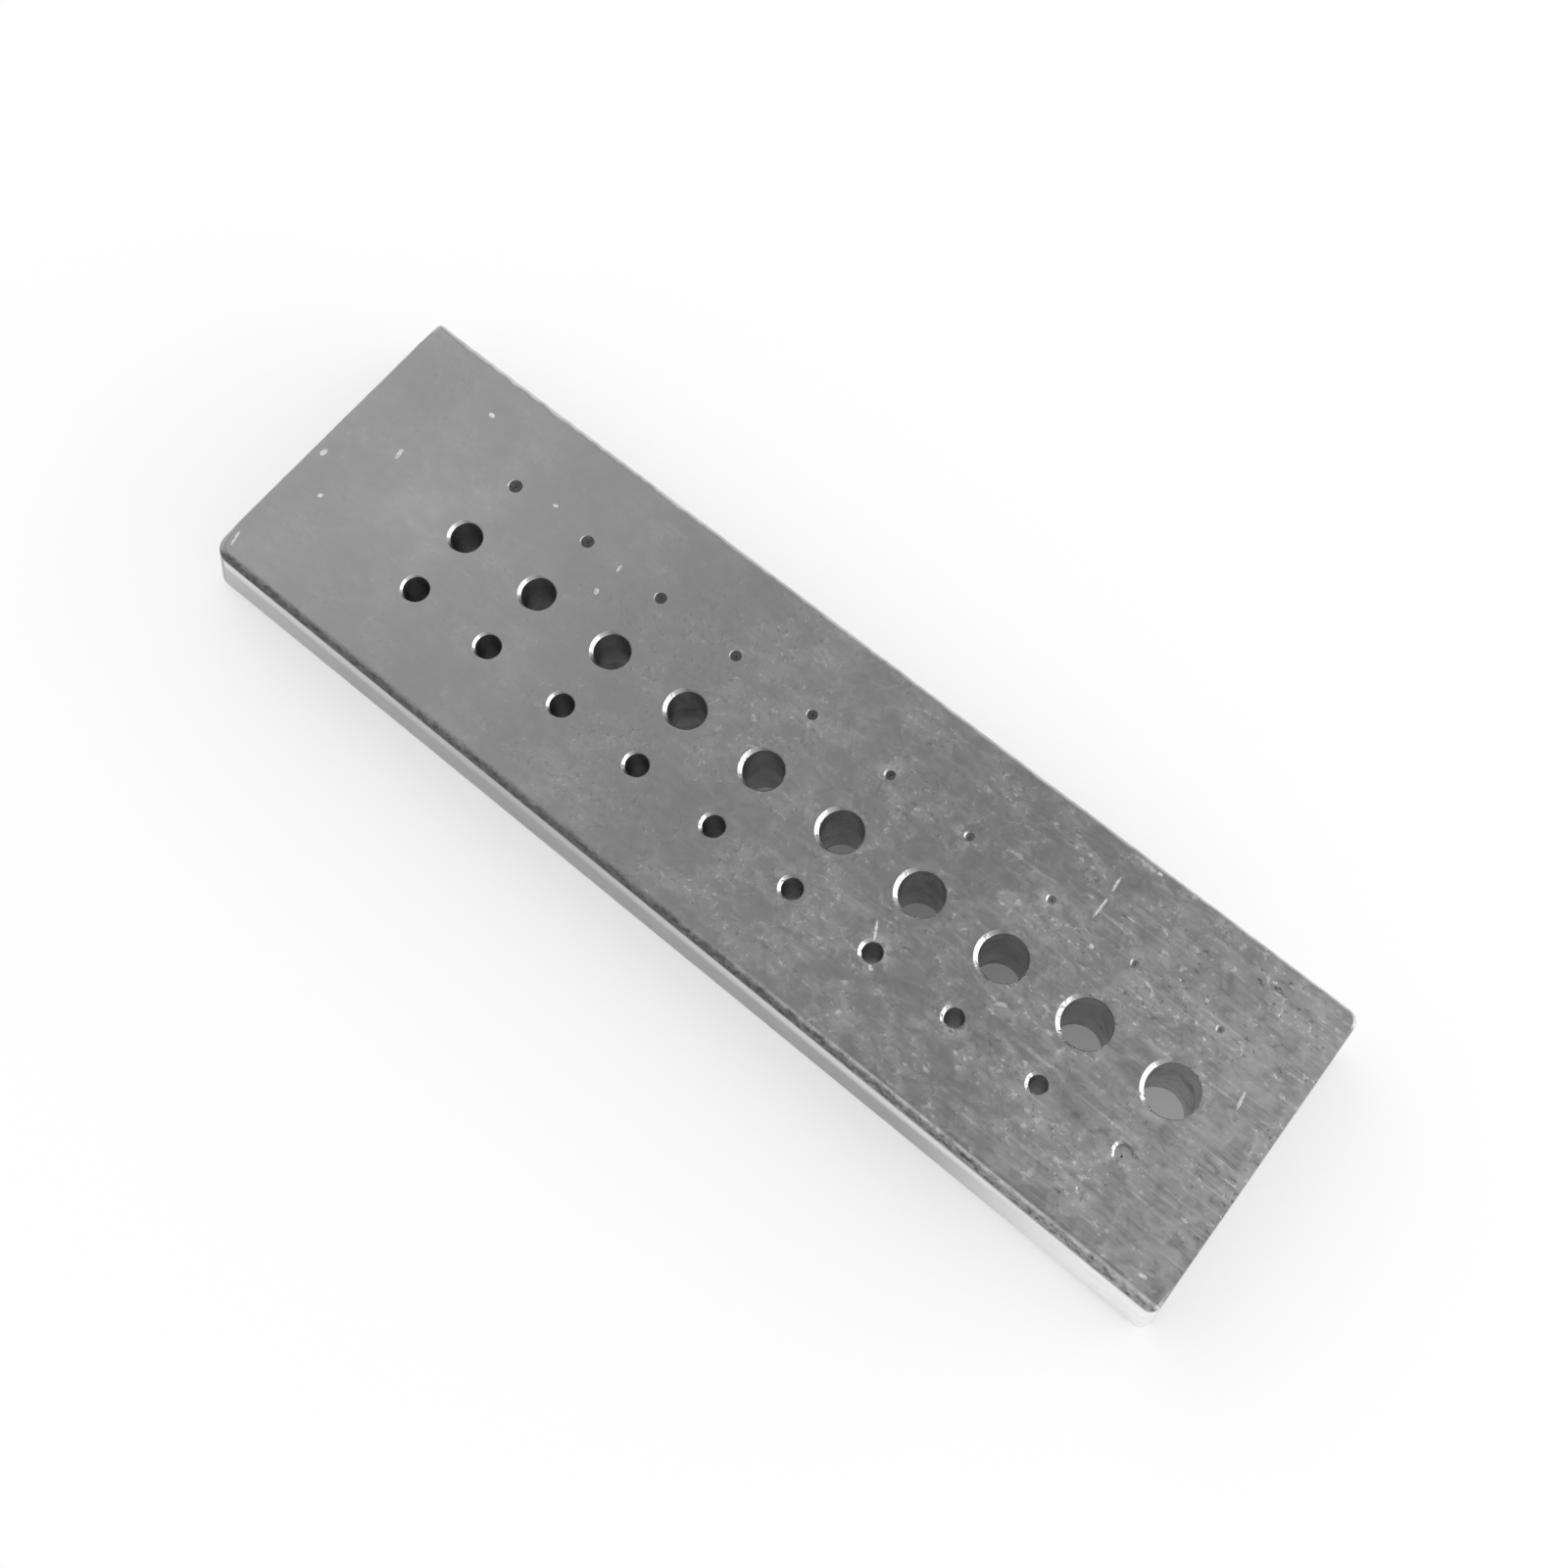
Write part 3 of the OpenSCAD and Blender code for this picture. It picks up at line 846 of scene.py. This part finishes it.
def buildGroundSteel(material):
    size = groundSteel
    tree, place, finish = startMaterial(material)
    at = spanner(tree, groundRanges)
    x, y, z = partsOf(tree, place)
    below = minus(tree, block["thickness"], z)
    fromFront = total(tree, y, halfWidth)
    fromMiddle = calc(tree, "ABSOLUTE", y)
    used = at(x, "use")
    lines = useGroup(tree, "grindLines", place, Lines_per_mm=size["linesPerMm"],
                     Line_length=size["lineLength"])
    scuffs = useGroup(tree, "scuffMarks", place, Fleck_size=size["fleckSize"],
                      Patch_size=size["patchSize"], Amount=used)
    edgeWearAndLight, rimGlossAndHighlight = attribute(tree, "edgeWearAndLight"), attribute(tree, "rimGlossAndHighlight")
    rubAndHighlight = useGroup(tree, "edgeRubAndHighlight", place, Wear=edgeWearAndLight, Patch_length=size["rubLength"])
    rimHighlight = useGroup(tree, "edgeRubAndHighlight", place, Wear=rimGlossAndHighlight, Patch_length=size["rimHighlightLength"])
    marks, sides = allMarks(tree, place)
    marks = product(tree, marks, at(grainNoise(tree, place, perMm=6.0, detail=2), "nickNoise"))
    clouds = signed(tree, grainNoise(tree, place, 1 / size["cloudSize"], detail=2, roughness=0.5))
    broken = grainNoise(tree, place, perMm=0.9, detail=4, roughness=0.7)

    # painted reflection: the ground colour is lighter at both ends of the block, where the top face
    # mirrors brighter surroundings
    aslant = timesPlus(tree, y, size["leftToneLean"], x)
    ground = tint(tree, at(aslant, "leftTone", soft=True), size["leftReflectionColour"], size["colour"])
    ground = tint(tree, at(x, "rightTone", soft=True), ground, size["rightReflectionColour"])

    # painted reflection: the sides are painted brightest under their upper edge and towards the right
    # end, as if mirroring the lit floor
    onCorner = product(tree, at(x, "cornerRight"), at(fromFront, "cornerFront"))
    onSide = product(tree, most(tree, at(fromMiddle, "sideFace"), onCorner), at(below, "sideTop"))
    fromBand = calc(tree, "ABSOLUTE", minus(tree, x, size["bandMiddle"]))
    upperBand = product(tree, at(below, "band", soft=True), at(fromBand, "bandEnds"))
    sideReflection = most(tree, upperBand, at(x, "rightSideReflection", soft=True), at(x, "leftSideReflection", soft=True))
    ground = tint(tree, product(tree, onSide, sideReflection), ground, size["sideReflectionColour"])

    # painted reflection: the front bevel is painted dark, as if it mirrored a dark surrounding, with a
    # ragged upper edge, and fades towards the right end
    wavy = timesPlus(tree, minus(tree, broken, 0.5), size["bevelWave"], fromFront)
    bevelFoot = at(x, "bevelFoot")
    bevelGone = total(tree, bevelFoot, size["bevelFade"])
    bevelMask = product(tree, at(wavy, "bevelBack", soft=True),
                        span(tree, below, bevelFoot, bevelGone, 1, 0, soft=True))
    bevelReflectionTint = tint(tree, at(x, "bevelReflectionFade", soft=True), size["bevelReflectionColour"], size["rightBevelReflectionColour"])
    chipped = grainNoise(tree, stretched(tree, place, along=0.8, across=1.6), perMm=2.2, roughness=0.65)
    for chips, colour in (("lightChips", "wearAndHighlightColour"), ("darkChips", "chipColour")):
        chipShare = product(tree, at(chipped, chips + "Noise"), at(x, chips))
        bevelReflectionTint = tint(tree, chipShare, bevelReflectionTint, size[colour])

    # behind it, along the working right half, run a painted highlight line and a thin dark one, both
    # broken
    lined = product(tree, at(x, "edgeLines"), at(below, "edgeLinesFoot"))
    highlightLine, darkLine = [
        product(tree, nearTo(tree, fromFront, *size[name]), lined, at(broken, name + "Noise"))
        for name in ("highlightLine", "darkLine")]

    # marks of use, lighter and darker than the ground colour; the lighter ones also carry painted
    # highlights on edges and rims
    def byUse(share):
        return timesPlus(tree, used, share, 1 - share)

    linesGrow = at(x, "lines")
    lineShare = product(tree, lines["Tone"], byUse(size["lineUse"]), linesGrow, size["lineTone"])
    patchShare = product(tree, scuffs["Patches"], byUse(size["patchUse"]), size["patchTone"])
    uneven = total(tree, lineShare, patchShare)
    for name, change in (("smudgeTone", product(tree, scuffs["Smudges"], used)), ("cloudTone", clouds),
                         ("scratchTone", product(tree, lines["Scratches"], used, linesGrow))):
        uneven = timesPlus(tree, change, size[name], uneven)
    calm = most(tree, onSide, at(below, "calm"))
    uneven = product(tree, uneven, oneLess(tree, calm, size["calmShare"]))
    marked = oneLess(tree, calm)
    burrs = product(tree, attribute(tree, "burrs"), at(x, "burrs"), at(broken, "burrNoise", soft=True),
                    size["burrTone"])
    light = timesPlus(tree, product(tree, scuffs["Flecks"], marked), size["fleckTone"], uneven)
    # the edges are lightened, most along the back edge: partly real wear, partly a painted highlight
    light = most(tree, light, burrs, product(tree, rubAndHighlight["Rubbed"], at(y, "backRubAndHighlight")), highlightLine)
    # painted highlight: the rims are lightened on their worn side
    light = timesPlus(tree, rimHighlight["Rubbed"], size["rimHighlightTone"], light)
    dark = most(tree, product(tree, uneven, -size["darkGain"]), 0.0)
    dark = timesPlus(tree, product(tree, scuffs["Pits"], marked), size["pitTone"], dark)
    dark = calc(tree, "MINIMUM", most(tree, dark, darkLine), 1.0)
    ground = tint(tree, dark, ground, size["pitAndShadeColour"])
    ground = tint(tree, most(tree, light, 0.0), ground, size["wearAndHighlightColour"])
    ground = tint(tree, bevelMask, ground, bevelReflectionTint)
    # painted shade: the right end's edge is darkened where the right lamp lights it
    endEdge = product(tree, edgeWearAndLight, at(x, "endEdge"), at(fromMiddle, "endEdgeSides"))
    ground = tint(tree, endEdge, ground, size["pitAndShadeColour"])
    plug(tree, tint(tree, marks, ground, size["nickAndHighlightColour"]), finish["Base Color"])

    rough = blendOf(tree, rimGlossAndHighlight, size["roughness"], size["rimRoughness"])
    rough = timesPlus(tree, scuffs["Patches"], size["patchRoughness"], rough)
    plug(tree, rough, finish["Roughness"])
    grainStrength = product(tree, linesGrow, size["grainBump"])
    grainNormal = dentBump(tree, lines["Height"], grainStrength, size["grainDepth"])
    dents = total(tree, scuffs["Height"], sides)
    dentNormal = dentBump(tree, dents, size["scuffBump"], size["scuffDepth"], grainNormal)
    plug(tree, dentNormal, finish["Normal"])


def buildBoreSteel(material):
    # painted shade darkens the bore walls deeper down, and painted light makes them lightest in the front
    # row and near the right end; narrow ones are dull with grime
    size = boreSteel
    tree, place, finish = startMaterial(material)
    at = spanner(tree, boreRanges)
    x, y = partsOf(tree, place)[:2]
    scuffs = useGroup(tree, "scuffMarks", place, Fleck_size=size["fleckSize"],
                      Patch_size=size["patchSize"], Amount=1.0)
    depth = at(attribute(tree, "boreDepth"), "deep", soft=True)
    # painted shade: the wall darkens down the bore
    wall = tint(tree, depth, size["colour"], size["deepShadeColour"])
    # painted light: walls are lighter in the front row and towards the right end
    inFrontRow = at(y, "frontRow")
    litWallShare = most(tree, product(tree, inFrontRow, at(x, "frontLight")), at(x, "rightLight"))
    wall = tint(tree, litWallShare, wall, size["litWallColour"])
    stained = most(tree, product(tree, scuffs["Smudges"], size["smudgeStain"]),
                   product(tree, scuffs["Patches"], size["patchStain"]), 0.0)
    wall = tint(tree, stained, wall, size["grimeColour"])

    # grime gets paler towards the right end; in the front row it is painted palest, painted light that
    # makes up for the shade deep in its hole
    grime = at(attribute(tree, "clogged"), "grime")
    grimeShade = timesPlus(tree, scuffs["Smudges"], size["grimeSmudge"], at(x, "grimeTone"))
    grimeTint = tint(tree, grimeShade, size["grimeColour"], size["paleGrime"])
    grimeTint = tint(tree, inFrontRow, grimeTint, size["litFrontGrime"])
    wall = tint(tree, grime, wall, grimeTint)
    wall = tint(tree, product(tree, scuffs["Flecks"], size["fleckTone"]), wall, size["colour"])
    plug(tree, wall, finish["Base Color"])
    rough = blendOf(tree, grime, size["roughness"], size["grimeRoughness"])
    rough = timesPlus(tree, scuffs["Patches"], size["patchRoughness"], rough)
    plug(tree, rough, finish["Roughness"])
    plug(tree, dentBump(tree, scuffs["Height"], size["bump"], size["bumpDepth"]), finish["Normal"])


steelFinish = bpy.data.materials.new("groundSteel")
boreFinish = bpy.data.materials.new("boreSteel")
buildGroundSteel(steelFinish)
buildBoreSteel(boreFinish)
print("finishes ready")
stake = makeBlock(steelFinish, boreFinish)


# floor and lights

floorLook = {
    "reach": 3,  # metres from the middle to each border
    "colour": (0.74, 0.74, 0.74, 1),
    # its own glow keeps the background pale; it is weak under the block, where it shows through the holes
    # as painted light that grows towards the right end
    "openGlow": 0.39, "mirroredGlow": 0.22,
}

# mm away from the middle along and across the block, and the painted light seen through the holes, by x
floorRanges = {
    "blockLength": (48, 50, 1, 0), "blockWidth": (11, 13, 1, 0), "paintedLightUnderBlock": (20, 44, 0.1, 0.21),
}

floorMesh = bpy.data.meshes.new("paleFloor")
floorCorners = [(floorLook["reach"] * x, floorLook["reach"] * y, 0)
                for x, y in ((-1, -1), (1, -1), (1, 1), (-1, 1))]
floorMesh.from_pydata(floorCorners, [], [(0, 1, 2, 3)])
floor = placeObject("paleFloor", floorMesh)

floorFinish = bpy.data.materials.new("paleFloor")
floorFinish.use_nodes = True
floorTree = floorFinish.node_tree
floorTree.nodes.clear()
matt = floorTree.nodes.new("ShaderNodeBsdfDiffuse")
matt.inputs["Color"].default_value = floorLook["colour"]
rays = floorTree.nodes.new("ShaderNodeLightPath").outputs
mirrored = most(floorTree, rays["Is Glossy Ray"], rays["Is Transmission Ray"])
seen = most(floorTree, rays["Is Camera Ray"], mirrored)
floorX, floorY = partsOf(floorTree, placeInMm(floorTree))[:2]
onFloor = spanner(floorTree, floorRanges)
underBlock = product(floorTree, onFloor(calc(floorTree, "ABSOLUTE", floorX), "blockLength"),
                     onFloor(calc(floorTree, "ABSOLUTE", floorY), "blockWidth"))
paintedLightUnderBlock = blendOf(floorTree, mirrored, onFloor(floorX, "paintedLightUnderBlock"), floorLook["mirroredGlow"])
glowHere = blendOf(floorTree, underBlock, floorLook["openGlow"], paintedLightUnderBlock)
glow = floorTree.nodes.new("ShaderNodeEmission")
plug(floorTree, product(floorTree, seen, glowHere), glow.inputs["Strength"])
both = floorTree.nodes.new("ShaderNodeAddShader")
plug(floorTree, matt.outputs[0], both.inputs[0])
plug(floorTree, glow.outputs[0], both.inputs[1])
floorOut = floorTree.nodes.new("ShaderNodeOutputMaterial")
plug(floorTree, both.outputs[0], floorOut.inputs["Surface"])
floorMesh.materials.append(floorFinish)

# each lamp is a soft panel that faces the block: its middle and its size in metres, and its brightness
lamps = {
    "rightStrip": {"at": (1.0, 0.54, 0.28), "size": (1.7, 0.54), "glow": 1.7},
    "leftHigh": {"at": (-0.66, 0.2, 0.72), "size": (0.6, 0.8), "glow": 0.5},
}
worldGlow = 0.72

for name, lamp in lamps.items():
    lampData = bpy.data.lights.new(name, "AREA")
    lampData.shape = "RECTANGLE"
    lampData.size, lampData.size_y = lamp["size"]
    lampData.energy = lamp["glow"] * math.pi * lamp["size"][0] * lamp["size"][1]
    lampObject = placeObject(name, lampData)
    lampObject.location = lamp["at"]
    lampObject.rotation_mode = "QUATERNION"
    lampObject.rotation_quaternion = (-Vector(lamp["at"])).to_track_quat("-Z", "Y")

world = bpy.data.worlds.new("studio")
world.use_nodes = True
background = world.node_tree.nodes["Background"].inputs
background["Color"].default_value = (1, 1, 1, 1)
background["Strength"].default_value = worldGlow
bpy.context.scene.world = world
bpy.context.scene.view_settings.view_transform = "Standard"
print("floor and lights ready")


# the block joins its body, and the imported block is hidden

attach(stake, "root")
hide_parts("stake_block")
